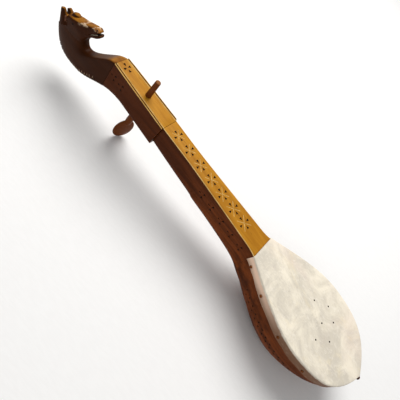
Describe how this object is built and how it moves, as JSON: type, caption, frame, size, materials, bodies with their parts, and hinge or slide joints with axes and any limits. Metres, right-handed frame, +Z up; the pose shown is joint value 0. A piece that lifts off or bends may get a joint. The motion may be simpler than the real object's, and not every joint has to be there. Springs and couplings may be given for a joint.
{
  "type": "carved one-string fiddle",
  "caption": "Carved wooden one-string fiddle with a horse-head finial, deep pear-shaped bowl, stretched rawhide belly and a leaf-shaped tuning peg through the head block.",
  "frame": {"origin": "centre of the footprint at the floor, with the instrument lying on its back on the bowl and the peg's paddle", "axes": "+Y toward the horse head, +X across, +Z up out of the front face, which slopes 5.1 degrees up toward the head"},
  "size_m": [0.1482, 0.723, 0.1562],
  "materials": {
    "side_wood": "satin varnish, dark reddish brown",
    "face_wood": "satin varnish, golden brown on the front faces, dark on the sides",
    "peg_wood": "satin, reddish brown",
    "pin_wood": "satin, reddish brown",
    "rawhide": "dry stretched rawhide, cream and mottled"
  },
  "bodies": {
    "instrument": {"bowl": "side_wood", "skin": "rawhide", "neck": "face_wood", "peg_block": "face_wood", "horse_head": "side_wood", "tail_button": "peg_wood", "pin_left_1": "pin_wood", "pin_left_2": "pin_wood", "pin_left_3": "pin_wood", "pin_left_4": "pin_wood", "pin_right_1": "pin_wood", "pin_right_2": "pin_wood", "pin_right_3": "pin_wood", "pin_right_4": "pin_wood"},
    "peg": {"tuning_peg": "peg_wood"}
  },
  "joints": [
    {"name": "peg_turn", "type": "hinge", "parent": "instrument", "child": "peg", "pos_m": [0, 0.17146, 0.12202], "axis": [0, -0.0889, 0.996], "continuous": true}
  ]
}
